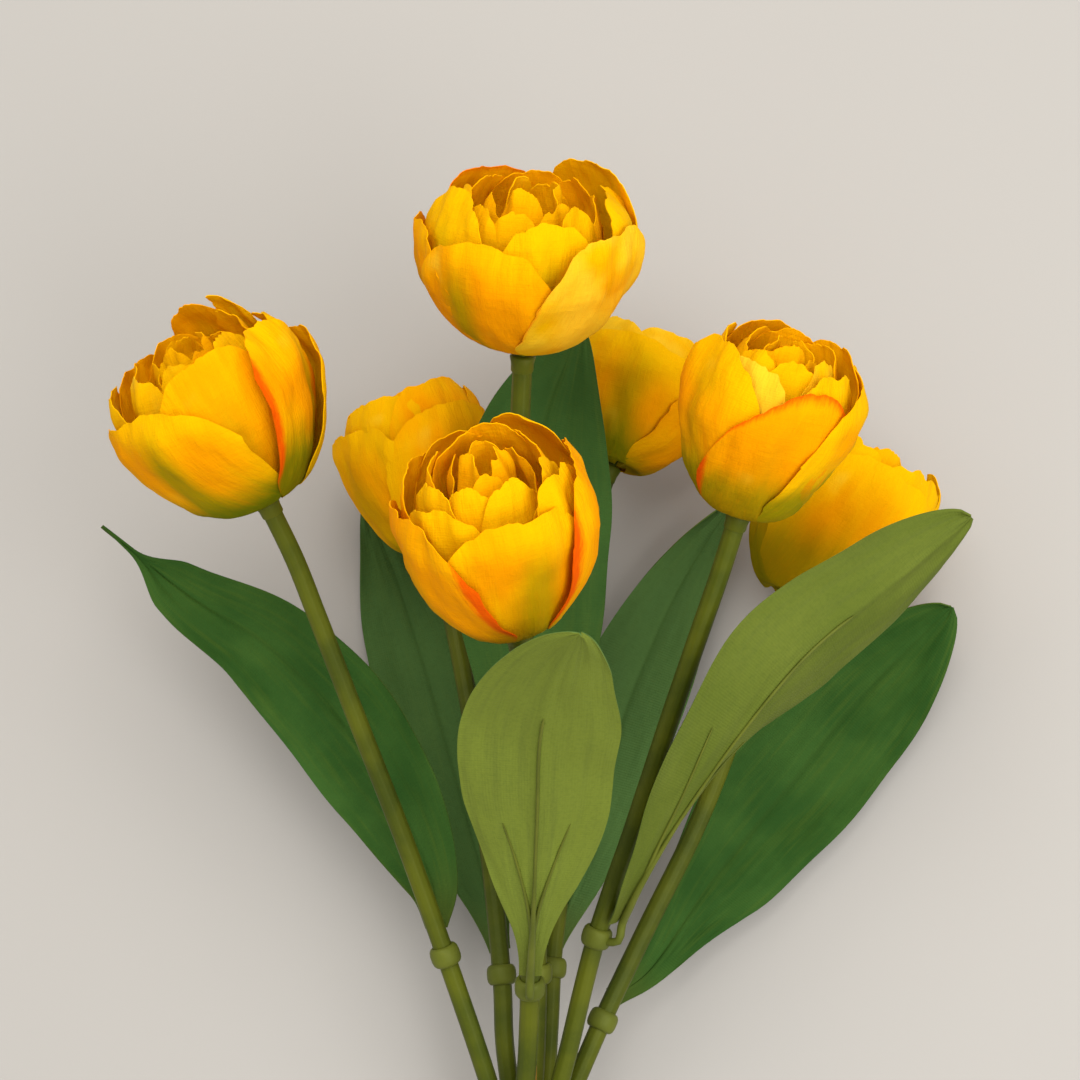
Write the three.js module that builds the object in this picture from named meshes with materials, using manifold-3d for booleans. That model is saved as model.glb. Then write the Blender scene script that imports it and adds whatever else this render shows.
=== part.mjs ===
// A bunch of seven artificial double tulips, lying on its back: one trunk, seven wired
// stems, a leaf on each stem and a head of folded fabric petals on each stem.
// Millimetres, +Z up. The bunch is designed upright, foot of the trunk at the origin,
// x to the right, y to the back and z up the stems, and is then laid down on the ground.

import * as THREE from 'three';
import { mergeVertices } from 'three/addons/utils/BufferGeometryUtils.js';
import Module from 'manifold-3d';

// Driving dimensions.
const FIT_GAP = 0.3;              // between pieces that touch
const SLIDE_GAP = 0.4;            // round a stem, in a socket or a collar

const TRUNK_LENGTH = 60;
const ROUTE_FLOOR = 60;           // the trunk's length that the stems' points are given for
const TRUNK_FOOT_DIAMETER = 14;
const TRUNK_WALL = 1.7;           // outside the sockets, at the top
const TRUNK_SWELL_LENGTH = 7;     // where the foot widens to the sockets
const TRUNK_CHAMFER = 1.2;
const TRUNK_SIDES = 16;
const STEM_SPACING = 1.9;         // between neighbouring stems in the trunk
const SOCKET_DEPTH = 14;

const STEM_DIAMETER = 5.3;
const BORE_DIAMETER = 2.9;
const WIRE_DIAMETER = 1.6;
const WIRE_INSET = 3;             // wire ends this far inside the bore
const STRAIGHT_END = 9;           // of a stem, into its head

const STUB_DIAMETER = 1.9;
const STUB_HEIGHT = 25;           // above the trunk
const STUB_SEAT = 3;
const STUB_TURN = 282.4;          // degrees round the middle stem
const STUB_CLEARANCE = 0.6;       // from the middle stem

const CALYX_HEIGHT = 2.6;
const CALYX_SPREAD = 1.95;        // outside the stem, at its widest
const CALYX_SEAT = 2;             // how far a stem goes in
const CALYX_WALL = 0.8;
const PEG_DIAMETER = 3.4;
const PEG_HEAD = 1.2;             // flattened end of the peg
const PEG_HEAD_LIP = 0.7;
const PEG_SPARE = 0.2;            // above the top layer of petals

const HEAD_RADIUS = 28;
const HEAD_HEIGHT = 50;
const PETAL_THICKNESS = 1;
const LAYER_GAP = 2.2;            // between layers of petals, along the cup's wall
const DISC_STEP = PETAL_THICKNESS + FIT_GAP;

const LEAF_WIDTH = 37;
const LEAF_THICKNESS = 0.9;
const LEAF_BASE_HALF_WIDTH = 3;
const LEAF_TIP_HALF_WIDTH = 0.9;
const LEAF_START = 6.6;           // above the collar's middle
const BASE_TAPER = 1.3;
const BLADE_STAND_OFF = 1.7;      // from the stem, at the blade's base
const RIB_RADIUS = 1.25;
const RIB_TIP_RADIUS = 0.5;
const VEIN_RADIUS = 0.65;
const VEIN_TIP_RADIUS = 0.4;
const RIB_END = 0.72;             // of the leaf's length
const VEIN_END = 0.48;            // of the leaf's length
const VEIN_SPREAD = 0.55;         // of the leaf's half width
const RIB_CLEARANCE = 0.85;       // under the blade
const COLLAR_WALL = 1.45;         // of the bead, outside the stem
const COLLAR_LENGTH = 5.6;

const STEM_SIDES = 8;
const STEM_STEPS = 13;
const CUP_SIDES = 15;
const CALYX_SIDES = 8;
const BORE_SIDES = 6;
const WIRE_SIDES = 5;
const SOCKET_SIDES = 10;
const COLLAR_SIDES = 10;
const RIB_STEPS = 9;
const RIB_POINTS = 6;

// Each flower: its stem's route above the trunk (the last point is under the head), the
// way the head points, how open it is (1 is a plain cup), how wide and tall it is beside
// HEAD_RADIUS and HEAD_HEIGHT, the turn of its petals and of its socket in degrees (0 is
// the socket in the middle), and the height of its leaf's collar.
const FLOWERS = [
  {
    route: [[-13, -5, 84], [-23, -6, 115], [-34, -6, 147], [-46, -6, 179], [-69, -6, 237]],
    points: [-0.42, -0.2, 0.88], open: 1.02, wide: 1.04, tall: 1, turn: 10, socket: 185, collar: 115,
  },
  {
    route: [[-7, 8, 84], [-8, 13, 104], [-15, 33, 161], [-20, 43, 188], [-26, 53, 215]],
    points: [-0.2, 0.22, 0.95], open: 0.94, wide: 0.9, tall: 0.95, turn: 70, socket: 125, collar: 104,
  },
  {
    route: [[1.5, 0.5, 84], [2, 1, 110], [1, 1, 142], [-2, 0, 212], [-2, -1, 275]],
    points: [0.06, -0.3, 0.95], open: 1.06, wide: 1.1, tall: 0.98, turn: 15, socket: 0, collar: 108,
  },
  {
    route: [[-1, -12, 84], [0, -19, 110], [0, -29, 138], [-1, -42, 166], [-3, -60, 212]],
    points: [-0.16, -0.36, 0.92], open: 0.98, wide: 1, tall: 1.03, turn: 25, socket: 245, collar: 110,
  },
  {
    route: [[5, 7, 84], [6, 13, 106], [10, 26, 140], [14, 40, 177], [22, 61, 239]],
    points: [0.36, 0.24, 0.9], open: 0.92, wide: 0.92, tall: 0.9, turn: 45, socket: 65, collar: 106,
  },
  {
    route: [[10, -8, 87], [18, -9, 121], [28, -11, 152], [38, -13, 184], [54, -19, 235]],
    points: [0.26, -0.18, 0.95], open: 0.92, wide: 0.93, tall: 1, turn: 5, socket: 305, collar: 121,
  },
  {
    route: [[15, 3, 82], [20, 6, 93], [33, 15, 118], [48, 26, 146], [73, 47, 201]],
    points: [0.52, 0.24, 0.81], open: 0.96, wide: 0.96, tall: 0.93, turn: 80, socket: 5, collar: 93,
  },
];

// Each leaf, on the stem of the same number: its midline from just above the collar to
// the tip, the way its upper side faces at the base and at the tip, its width as a part
// of LEAF_WIDTH, how far its edges rise, how far along it is widest, and how blunt its
// tip is (a lower power is blunter; every base tapers as BASE_TAPER says).
const LEAVES = [
  {
    midline: [[-27, 8, 131], [-38, 17, 152], [-54, 26, 174], [-74, 31, 194], [-95, 29, 208], [-118, 20, 229]],
    faceBase: [0.1, -1, 0], faceTip: [0.1, -0.9, 0.45], width: 0.86, cup: 0.16, widest: 0.42, blunt: 0.95,
  },
  {
    midline: [[-13, 33, 124], [-23, 53, 155], [-33, 71, 185], [-42, 82, 210], [-50, 85, 228]],
    faceBase: [0, -1, 0.2], faceTip: [-0.1, -0.95, 0.1], width: 0.95, cup: 0.14, widest: 0.5, blunt: 0.8,
  },
  {
    midline: [[2, 10, 128], [1, 16, 160], [0, 22, 194], [1, 28, 228], [4, 32, 256], [14, 35, 284]],
    faceBase: [0, -1, 0.1], faceTip: [0, -1, 0], width: 1.15, cup: 0.14, widest: 0.66, blunt: 0.8,
  },
  {
    midline: [[1, -39, 136], [2, -55, 165], [3, -72, 190], [7, -89, 208], [12, -102, 219]],
    faceBase: [0, 1, 0.2], faceTip: [0.1, 0.8, 0.6], width: 1.04, cup: 0.14, widest: 0.6, blunt: 0.65,
  },
  {
    midline: [[12, 30, 124], [22, 46, 156], [34, 58, 186], [45, 65, 208], [59, 64, 231]],
    faceBase: [0, -1, 0.1], faceTip: [-0.1, -1, 0], width: 0.84, cup: 0.14, widest: 0.5, blunt: 0.8,
  },
  {
    midline: [[28, -20, 138], [42, -24, 162], [58, -26, 185], [74, -24, 203], [93, -18, 217], [117, -8, 235]],
    faceBase: [-0.9, 0.6, 0], faceTip: [-0.2, 0.9, 0.3], width: 0.9, cup: 0.42, widest: 0.58, blunt: 0.55,
  },
  {
    midline: [[33, 22, 102], [53, 37, 126], [75, 48, 150], [96, 53, 175], [121, 50, 202]],
    faceBase: [0, -1, 0.1], faceTip: [0, -1, 0.2], width: 1.1, cup: 0.12, widest: 0.6, blunt: 0.6,
  },
];

const material = (color, roughness, metalness = 0) =>
  new THREE.MeshStandardMaterial({ color, roughness, metalness });

const FINISH = {
  outer: material(0xe39a02, 0.8),
  middle: material(0xf0b20a, 0.8),
  inner: material(0xd97c02, 0.8),
  calyx: material(0x67660c, 0.55),
  stem: material(0x57611a, 0.5),
  wire: material(0x9a9a98, 0.35, 1),
  leaf: material(0x37541c, 0.75),
  rib: material(0x6b6f2b, 0.5),
  trunk: material(0x5a6420, 0.5),
  stub: material(0x68590f, 0.5),
};

// ------------------------------------------------------------------ solid work

const wasm = await Module();
wasm.setup();

/** The geometry with only its corners, each shared by the faces that meet there. */
function welded(geometry) {
  const bare = geometry.index ? geometry.toNonIndexed() : geometry.clone();
  bare.deleteAttribute('normal');
  bare.deleteAttribute('uv');
  return mergeVertices(bare, 1e-4);
}

function toSolid(geometry) {
  const mesh = welded(geometry);
  return new wasm.Manifold(new wasm.Mesh({
    numProp: 3,
    vertProperties: new Float32Array(mesh.attributes.position.array),
    triVerts: new Uint32Array(mesh.index.array),
  }));
}

function fromSolid(solid) {
  const mesh = solid.getMesh();
  const geometry = new THREE.BufferGeometry();
  geometry.setAttribute('position', new THREE.BufferAttribute(mesh.vertProperties, 3));
  geometry.setIndex(new THREE.BufferAttribute(mesh.triVerts, 1));
  return geometry;
}

/** Moves every corner of a geometry by a function of where it was. */
function reshape(geometry, place) {
  const bare = welded(geometry);
  const corners = bare.attributes.position;
  const corner = new THREE.Vector3();
  for (let i = 0; i < corners.count; i += 1) {
    corner.fromBufferAttribute(corners, i);
    const moved = place(corner);
    corners.setXYZ(i, moved.x, moved.y, moved.z);
  }
  return bare;
}

/** A regular polygon whose flats are at the given radius, so a round fits inside it. */
function roundedSection(radius, sides) {
  const reach = radius / Math.cos(Math.PI / sides);
  const shape = new THREE.Shape();
  for (let i = 0; i < sides; i += 1) {
    const turn = (2 * Math.PI * i) / sides;
    const x = reach * Math.cos(turn);
    const y = reach * Math.sin(turn);
    if (i === 0) shape.moveTo(x, y);
    else shape.lineTo(x, y);
  }
  return shape;
}

function extruded(shape, path, steps) {
  return new THREE.ExtrudeGeometry(shape, { steps, extrudePath: path, bevelEnabled: false });
}

/** A tapering round rod along a curve; radiusAt goes from 0 at its start to 1 at its end. */
function taperedRod(path, radiusAt, sides, steps) {
  const frames = path.computeFrenetFrames(steps, false);
  const rod = new THREE.CylinderGeometry(1, 1, 1, sides, steps);
  return reshape(rod, (corner) => {
    const step = Math.round((corner.y + 0.5) * steps);
    const along = step / steps;
    const radius = radiusAt(along);
    return path.getPointAt(along)
      .addScaledVector(frames.normals[step], corner.x * radius)
      .addScaledVector(frames.binormals[step], -corner.z * radius);
  });
}

/** Turns +z to the given way and moves the origin to a point. */
function standing(geometry, point, way) {
  const turn = new THREE.Quaternion().setFromUnitVectors(new THREE.Vector3(0, 0, 1), way);
  return geometry.clone().applyQuaternion(turn).translate(point.x, point.y, point.z);
}

/** A lathed shape standing along z. */
function lathed(profile, sides) {
  const points = profile.map(([radius, height]) => new THREE.Vector2(radius, height));
  return new THREE.LatheGeometry(points, sides).rotateX(Math.PI / 2);
}

// ------------------------------------------------------------------ the routes

const vector = ([x, y, z]) => new THREE.Vector3(x, y, z);
const stemRadius = STEM_DIAMETER / 2;
const collarRadius = stemRadius + COLLAR_WALL;
const socketRing = STEM_DIAMETER + STEM_SPACING;

/** Where a stem stands in the trunk: the third in the middle, the others in a ring. */
function socketOf(flower) {
  const turn = THREE.MathUtils.degToRad(flower.socket);
  const reach = flower.socket === 0 ? 0 : socketRing;
  return new THREE.Vector3(reach * Math.cos(turn), reach * Math.sin(turn), TRUNK_LENGTH);
}

function headWay(flower) {
  return vector(flower.points).normalize();
}

/** The stem's middle line: straight in its socket, straight again into the head. */
function stemPath(flower) {
  const socket = socketOf(flower);
  const points = [
    socket.clone().setZ(TRUNK_LENGTH - SOCKET_DEPTH),
    socket.clone().setZ(TRUNK_LENGTH - SOCKET_DEPTH / 2),
    socket.clone().setZ(TRUNK_LENGTH + 1),
  ];
  const route = flower.route.map(vector);
  for (const point of route) point.z += TRUNK_LENGTH - ROUTE_FLOOR;
  const end = route.pop();
  const way = headWay(flower);
  points.push(...route);
  for (const short of [STRAIGHT_END, STRAIGHT_END / 2, 0]) {
    points.push(end.clone().addScaledVector(way, -short));
  }
  return new THREE.CatmullRomCurve3(points, false, 'centripetal');
}

/** How far along a stem its middle line reaches a height above the foot. */
function stationAt(path, height) {
  let low = 0;
  let high = 1;
  for (let i = 0; i < 30; i += 1) {
    const middle = (low + high) / 2;
    if (path.getPointAt(middle).z < height) low = middle;
    else high = middle;
  }
  return low;
}

// ------------------------------------------------------------------ the head

/** One layer of petals: a thin cup whose rim runs up and down in lobes. */
function petalLayer(flower, layer) {
  const hole = PEG_DIAMETER / 2 + FIT_GAP;
  const radius = (HEAD_RADIUS - layer.inset) * flower.wide - hole;
  const height = HEAD_HEIGHT * layer.rise * flower.tall - layer.floor;
  const rimAngle = THREE.MathUtils.degToRad(118 - 30 * (flower.open - 1));
  const start = THREE.MathUtils.degToRad(flower.turn + layer.turn);
  const wallSteps = layer.wallSteps;
  const under = wallSteps.map((step) => [1 + step, 0]);
  const over = wallSteps.map((step) => [1 + step, 1]).reverse();
  const washer = lathed([...under, ...over, under[0]], CUP_SIDES);
  return reshape(washer, ({ x, y, z }) => {
    const turn = Math.atan2(y, x);
    const wall = Math.hypot(x, y) - 1;
    const lobe = Math.abs(Math.cos(((turn - start) * layer.lobes) / 2));
    const reached = wall * (1 - layer.dip * (1 - lobe ** 0.7) * wall);
    const angle = reached * rimAngle;
    const lean = Math.min(angle * 1.05, Math.PI * 0.6);
    const pinch = 1 - 0.04 * (1 - lobe) * wall;
    const reach = hole + radius * Math.sin(angle) * pinch - z * PETAL_THICKNESS * Math.sin(lean);
    const rise = height * ((1 - Math.cos(angle)) / (1 - Math.cos(rimAngle))) ** 0.92;
    const level = layer.floor + rise + z * PETAL_THICKNESS * Math.cos(lean);
    return new THREE.Vector3(reach * Math.cos(turn), reach * Math.sin(turn), level);
  });
}

const discFloor = (index) => CALYX_HEIGHT + FIT_GAP + index * DISC_STEP;

const FINE_WALL = [0, 0.2, 0.45, 0.72, 1];
const PLAIN_WALL = [0, 0.3, 0.65, 1];

const LAYERS = [
  {
    name: 'outer_petals', finish: 'outer', lobes: 3, turn: 0,
    inset: 0, rise: 1, dip: 0.2, wallSteps: FINE_WALL,
  },
  {
    name: 'middle_petals', finish: 'middle', lobes: 3, turn: 60,
    inset: LAYER_GAP + 1, rise: 1, dip: 0.2, wallSteps: FINE_WALL,
  },
  {
    name: 'inner_petals', finish: 'inner', lobes: 5, turn: 20,
    inset: 3.4 * LAYER_GAP, rise: 0.84, dip: 0.14, wallSteps: PLAIN_WALL,
  },
];
LAYERS.forEach((layer, index) => {
  layer.floor = discFloor(index);
});

/** The green cup under a head, with the peg that the layers of petals are threaded on. */
function calyxShape() {
  const peg = PEG_DIAMETER / 2;
  const seat = (stemRadius + SLIDE_GAP) / Math.cos(Math.PI / CALYX_SIDES);
  const wide = stemRadius + CALYX_SPREAD;
  const pegTop = discFloor(LAYERS.length) + PEG_SPARE;
  const profile = [
    [0, 0],
    [seat, 0],
    [seat, -CALYX_SEAT],
    [seat + CALYX_WALL, -CALYX_SEAT],
    [wide, CALYX_HEIGHT * 0.4],
    [wide, CALYX_HEIGHT],
    [peg, CALYX_HEIGHT],
    [peg, pegTop],
    [peg + PEG_HEAD_LIP, pegTop + PEG_HEAD * 0.3],
    [peg + PEG_HEAD_LIP - 0.2, pegTop + PEG_HEAD],
    [0, pegTop + PEG_HEAD],
  ];
  return lathed(profile, CALYX_SIDES);
}

/** Turns a head from upright to the way its stem points, its turn counted from the front. */
function headPlace(flower, path) {
  const way = headWay(flower);
  const front = new THREE.Vector3(0, -1, 0);
  front.addScaledVector(way, -front.dot(way)).normalize();
  const side = new THREE.Vector3().crossVectors(way, front);
  const seat = path.getPointAt(1).addScaledVector(way, FIT_GAP);
  return new THREE.Matrix4().makeBasis(front, side, way).setPosition(seat);
}

// ------------------------------------------------------------------ the leaf

function leafBlade(leaf, path, flower) {
  const lift = TRUNK_LENGTH - ROUTE_FLOOR;
  const station = stationAt(path, flower.collar + lift);
  const collar = path.getPointAt(station);
  const upStem = path.getTangentAt(station);
  const faceBase = vector(leaf.faceBase).normalize();
  const faceTip = vector(leaf.faceTip).normalize();
  const out = faceBase.clone().addScaledVector(upStem, -faceBase.dot(upStem)).normalize().negate();
  const start = collar.clone().addScaledVector(upStem, LEAF_START)
    .addScaledVector(out, stemRadius + SLIDE_GAP + BLADE_STAND_OFF);
  const points = leaf.midline.map(vector);
  for (const point of points) point.z += lift;
  const midline = new THREE.CatmullRomCurve3([start, ...points], false, 'centripetal');
  const frameAt = (along) => {
    const tangent = midline.getTangentAt(along);
    const face = faceBase.clone().lerp(faceTip, THREE.MathUtils.smoothstep(along, 0.3, 0.85));
    face.addScaledVector(tangent, -face.dot(tangent)).normalize();
    const across = new THREE.Vector3().crossVectors(tangent, face);
    return { face, across };
  };
  const halfWidthAt = (along) => {
    const skew = Math.log(0.5) / Math.log(leaf.widest);
    const power = THREE.MathUtils.lerp(BASE_TAPER, leaf.blunt, THREE.MathUtils.smoothstep(along, 0, 0.5));
    const swell = Math.max(0, Math.sin(Math.PI * Math.min(1, along) ** skew)) ** power;
    const least = THREE.MathUtils.lerp(LEAF_BASE_HALF_WIDTH, LEAF_TIP_HALF_WIDTH, along);
    return least + (0.5 * LEAF_WIDTH * leaf.width - least) * swell;
  };
  const pointAt = (along, sideways, raised) => {
    const { face, across } = frameAt(along);
    const half = halfWidthAt(along);
    const slope = leaf.cup * 1.6 * Math.abs(sideways) ** 0.6 * Math.sign(sideways);
    const normal = face.clone().addScaledVector(across, -slope).normalize();
    return midline.getPointAt(along)
      .addScaledVector(across, sideways * half)
      .addScaledVector(face, leaf.cup * Math.abs(sideways) ** 1.6 * half)
      .addScaledVector(normal, raised);
  };
  return { collar, upStem, out, pointAt };
}

function bladeShape(blade) {
  const sheet = new THREE.BoxGeometry(2, 1, 1, 4, 10, 1);
  return reshape(sheet, ({ x, y, z }) => blade.pointAt(y + 0.5, x, z * LEAF_THICKNESS));
}

/** The moulded rib under a leaf: collar, midrib and two side veins, all one moulding. */
function ribShape(blade, bore) {
  const under = (along, sideways, radius) =>
    blade.pointAt(along, sideways, -(LEAF_THICKNESS / 2 + RIB_CLEARANCE + radius));
  const ribRadiusAt = (along) => THREE.MathUtils.lerp(RIB_RADIUS, RIB_TIP_RADIUS, along);
  const turnOut = stemRadius + SLIDE_GAP + BLADE_STAND_OFF + 2;
  const ribPoints = [
    blade.collar.clone().addScaledVector(blade.out, collarRadius - 0.4),
    blade.collar.clone().addScaledVector(blade.out, turnOut).addScaledVector(blade.upStem, 1.6),
  ];
  for (let i = 0; i <= RIB_POINTS; i += 1) {
    ribPoints.push(under((RIB_END * i) / RIB_POINTS, 0, RIB_RADIUS));
  }
  const midrib = new THREE.CatmullRomCurve3(ribPoints, false, 'centripetal');
  let moulding = toSolid(taperedRod(midrib, ribRadiusAt, 5, RIB_STEPS));
  const veinStart = RIB_END / RIB_POINTS;
  for (const side of [-1, 1]) {
    const veinPoints = [];
    for (let i = 0; i <= 4; i += 1) {
      const out = i / 4;
      const along = THREE.MathUtils.lerp(veinStart, VEIN_END, out);
      const depth = i === 0 ? RIB_RADIUS : VEIN_RADIUS + 0.2 * (1 - out);
      veinPoints.push(under(along, side * VEIN_SPREAD * out ** 0.8, depth));
    }
    const vein = new THREE.CatmullRomCurve3(veinPoints, false, 'centripetal');
    const veinRadiusAt = (along) => THREE.MathUtils.lerp(VEIN_RADIUS, VEIN_TIP_RADIUS, along);
    moulding = moulding.add(toSolid(taperedRod(vein, veinRadiusAt, 4, 4)));
  }
  const half = COLLAR_LENGTH / 2;
  const end = collarRadius - 0.9;
  const bead = lathed([
    [0, -half], [end, -half], [collarRadius, -half + 1.3], [collarRadius, half - 1.3], [end, half], [0, half],
  ], COLLAR_SIDES);
  moulding = moulding.add(toSolid(standing(bead, blade.collar, blade.upStem)));
  return fromSolid(moulding.subtract(bore));
}

// ------------------------------------------------------------------ trunk and stub

const trunkTopRadius = socketRing + stemRadius + SLIDE_GAP + TRUNK_WALL;
const stubReach = stemRadius + STUB_DIAMETER / 2 + STUB_CLEARANCE;
const stubTurn = THREE.MathUtils.degToRad(STUB_TURN);
const stubSeat = new THREE.Vector3(
  stubReach * Math.cos(stubTurn),
  stubReach * Math.sin(stubTurn),
  TRUNK_LENGTH - STUB_SEAT,
);

function trunkShape() {
  const foot = TRUNK_FOOT_DIAMETER / 2;
  const profile = [
    [0, 0],
    [foot, 0],
    [foot + 0.6, TRUNK_LENGTH * 0.3],
    [trunkTopRadius - 1.6, TRUNK_LENGTH - SOCKET_DEPTH + 3 - TRUNK_SWELL_LENGTH],
    [trunkTopRadius, TRUNK_LENGTH - SOCKET_DEPTH + 3],
    [trunkTopRadius, TRUNK_LENGTH - TRUNK_CHAMFER],
    [trunkTopRadius - TRUNK_CHAMFER, TRUNK_LENGTH],
    [0, TRUNK_LENGTH],
  ];
  let trunk = toSolid(lathed(profile, TRUNK_SIDES));
  const socketRadius = stemRadius / Math.cos(Math.PI / STEM_SIDES) + SLIDE_GAP;
  const depth = SOCKET_DEPTH + FIT_GAP;
  for (const flower of FLOWERS) {
    const middle = socketOf(flower);
    const socket = new THREE.CylinderGeometry(socketRadius, socketRadius, depth + 2, SOCKET_SIDES);
    socket.rotateX(Math.PI / 2).translate(middle.x, middle.y, TRUNK_LENGTH - depth + (depth + 2) / 2);
    trunk = trunk.subtract(toSolid(socket));
  }
  const hole = STUB_DIAMETER / 2 + FIT_GAP;
  const seat = new THREE.CylinderGeometry(hole, hole, STUB_SEAT + 2, 8).rotateX(Math.PI / 2);
  seat.translate(stubSeat.x, stubSeat.y, TRUNK_LENGTH - STUB_SEAT - FIT_GAP + (STUB_SEAT + 2) / 2);
  return fromSolid(trunk.subtract(toSolid(seat)));
}

function stubShape() {
  const radius = STUB_DIAMETER / 2;
  const top = STUB_SEAT + STUB_HEIGHT;
  const profile = [[0, 0], [radius * 0.9, 0], [radius, top - 1.2], [radius * 0.6, top - 0.2], [0, top]];
  return lathed(profile, 8).translate(stubSeat.x, stubSeat.y, stubSeat.z);
}

// ------------------------------------------------------------------ the bunch

const bunch = new THREE.Group();

function place(name, geometry, finish) {
  const mesh = new THREE.Mesh(geometry, FINISH[finish]);
  mesh.name = name;
  bunch.add(mesh);
  return mesh;
}

place('trunk', trunkShape(), 'trunk');
place('stub', stubShape(), 'stub');

FLOWERS.forEach((flower, index) => {
  const number = index + 1;
  const path = stemPath(flower);

  const section = roundedSection(stemRadius * Math.cos(Math.PI / STEM_SIDES), STEM_SIDES);
  section.holes.push(roundedSection((BORE_DIAMETER / 2) * Math.cos(Math.PI / BORE_SIDES), BORE_SIDES));
  place(`stem_${number}`, extruded(section, path, STEM_STEPS), 'stem');

  const inset = WIRE_INSET / path.getLength();
  const wirePoints = [];
  for (let i = 0; i <= STEM_STEPS; i += 1) {
    wirePoints.push(path.getPointAt(THREE.MathUtils.lerp(inset, 1 - inset, i / STEM_STEPS)));
  }
  const wirePath = new THREE.CatmullRomCurve3(wirePoints, false, 'centripetal');
  const wireSection = roundedSection((WIRE_DIAMETER / 2) * Math.cos(Math.PI / WIRE_SIDES), WIRE_SIDES);
  place(`wire_${number}`, extruded(wireSection, wirePath, STEM_STEPS), 'wire');

  const seat = headPlace(flower, path);
  place(`calyx_${number}`, calyxShape().applyMatrix4(seat), 'calyx');
  for (const layer of LAYERS) {
    place(`${layer.name}_${number}`, petalLayer(flower, layer).applyMatrix4(seat), layer.finish);
  }

  const blade = leafBlade(LEAVES[index], path, flower);
  const bore = toSolid(extruded(roundedSection(stemRadius + SLIDE_GAP, STEM_SIDES), path, STEM_STEPS));
  place(`leaf_${number}`, bladeShape(blade), 'leaf');
  place(`leaf_rib_${number}`, ribShape(blade, bore), 'rib');
});

// ------------------------------------------------------------------ laying it down

/** All corners of the meshes that a test picks, upright. */
function cornersOf(test) {
  const corners = [];
  for (const mesh of bunch.children) {
    const positions = mesh.geometry.attributes.position;
    for (let i = 0; i < positions.count; i += 1) {
      const corner = new THREE.Vector3().fromBufferAttribute(positions, i);
      if (test(mesh, corner)) corners.push(corner);
    }
  }
  return corners;
}

/** The lowest of some corners, once turned. */
function lowest(corners, turn) {
  let found = null;
  for (const corner of corners) {
    const turned = corner.clone().applyQuaternion(turn);
    if (!found || turned.z < found.z) found = turned;
  }
  return found;
}

/** The turn that lays the bunch on its foot and on the lowest point to each side. */
function restingTurn() {
  const foot = cornersOf((mesh) => mesh.name === 'trunk');
  const left = cornersOf((mesh, corner) => mesh.name !== 'trunk' && corner.x < 0);
  const right = cornersOf((mesh, corner) => mesh.name !== 'trunk' && corner.x > 0);
  const up = new THREE.Vector3(0, 0, 1);
  const turn = new THREE.Quaternion().setFromAxisAngle(new THREE.Vector3(1, 0, 0), -Math.PI / 2);
  for (let i = 0; i < 12; i += 1) {
    const heel = lowest(foot, turn);
    const toRight = lowest(right, turn).sub(heel);
    const toLeft = lowest(left, turn).sub(heel);
    const ground = toRight.cross(toLeft).normalize();
    turn.premultiply(new THREE.Quaternion().setFromUnitVectors(ground, up));
  }
  return turn;
}

bunch.quaternion.copy(restingTurn());
bunch.updateMatrixWorld(true);
const size = new THREE.Box3().setFromObject(bunch, true);
const middle = size.getCenter(new THREE.Vector3());
bunch.position.set(-middle.x, -middle.y, -size.min.z);

export default bunch;
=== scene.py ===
# A bunch of seven artificial double tulips laid on a table, seen from above.
# Shapes are worked out upright in millimetres, as the bunch is designed (x to the right,
# y to the back, z up the stems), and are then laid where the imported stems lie.

import math

import bmesh
import bpy
import numpy as np
from mathutils import Matrix, Vector, noise


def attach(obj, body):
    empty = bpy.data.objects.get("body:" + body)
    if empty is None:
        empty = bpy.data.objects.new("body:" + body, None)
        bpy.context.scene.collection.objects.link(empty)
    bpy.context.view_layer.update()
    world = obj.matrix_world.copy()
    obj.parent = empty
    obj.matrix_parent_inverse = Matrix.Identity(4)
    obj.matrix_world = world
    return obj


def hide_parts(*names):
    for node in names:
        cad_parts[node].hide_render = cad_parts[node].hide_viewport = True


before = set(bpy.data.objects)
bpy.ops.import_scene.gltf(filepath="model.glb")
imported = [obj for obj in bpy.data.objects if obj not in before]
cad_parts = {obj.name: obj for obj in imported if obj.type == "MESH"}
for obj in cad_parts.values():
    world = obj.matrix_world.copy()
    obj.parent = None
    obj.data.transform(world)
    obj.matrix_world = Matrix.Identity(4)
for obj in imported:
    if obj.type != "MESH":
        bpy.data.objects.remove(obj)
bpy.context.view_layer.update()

# ---------------------------------------------------------------- sizes, in millimetres

MM = 0.001
TRUNK_LENGTH = 60
TRUNK_FOOT_RADIUS = 7
TRUNK_TOP_RADIUS = 11.95
SOCKET_RING_RADIUS = 7.2
SOCKET_DEPTH = 14
SOCKET_SLACK = 0.25
STEM_RADIUS = 2.65
STEM_SKIN = 0.06
STEM_RIB_HEIGHT = 0.05
BORE_RADIUS = 1.45
STUB_PLACE = (0.9, -4.1)
STUB_RADIUS = 0.95
STUB_TOP = 25
STUB_SEAT = 3
CALYX_HEIGHT = 2.6
CALYX_RADIUS = 3.5
CALYX_SEAT = 2
PEG_RADIUS = 1.7
FIT_GAP = 0.3
HEAD_RADIUS = 28
HEAD_HEIGHT = 44
HEAD_LIFT = 3.2
DISC_STEP = 1.3
DISC_GAP = 0.4
PETAL_FOOT = 3.2
PETAL_CLOTH = 0.26
PETAL_WALL = 52
TIGHTEST_BEND = 6.0
SAG = 5.0
LEAF_WIDTH = 37
LEAF_CLOTH = 0.45
LEAF_WAVE = 2.6
LEAF_BUCKLE = 0.9
LEAF_RIPPLE = 0.22
LEAF_CREASE = 0.45
LEAF_BASE_HALF_WIDTH = 3
LEAF_TIP_HALF_WIDTH = 0.35
LEAF_START = 6.6
BLADE_REACH = STEM_RADIUS + 0.4 + 1.7
COLLAR_RADIUS = 4.1
COLLAR_LENGTH = 5.6
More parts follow.
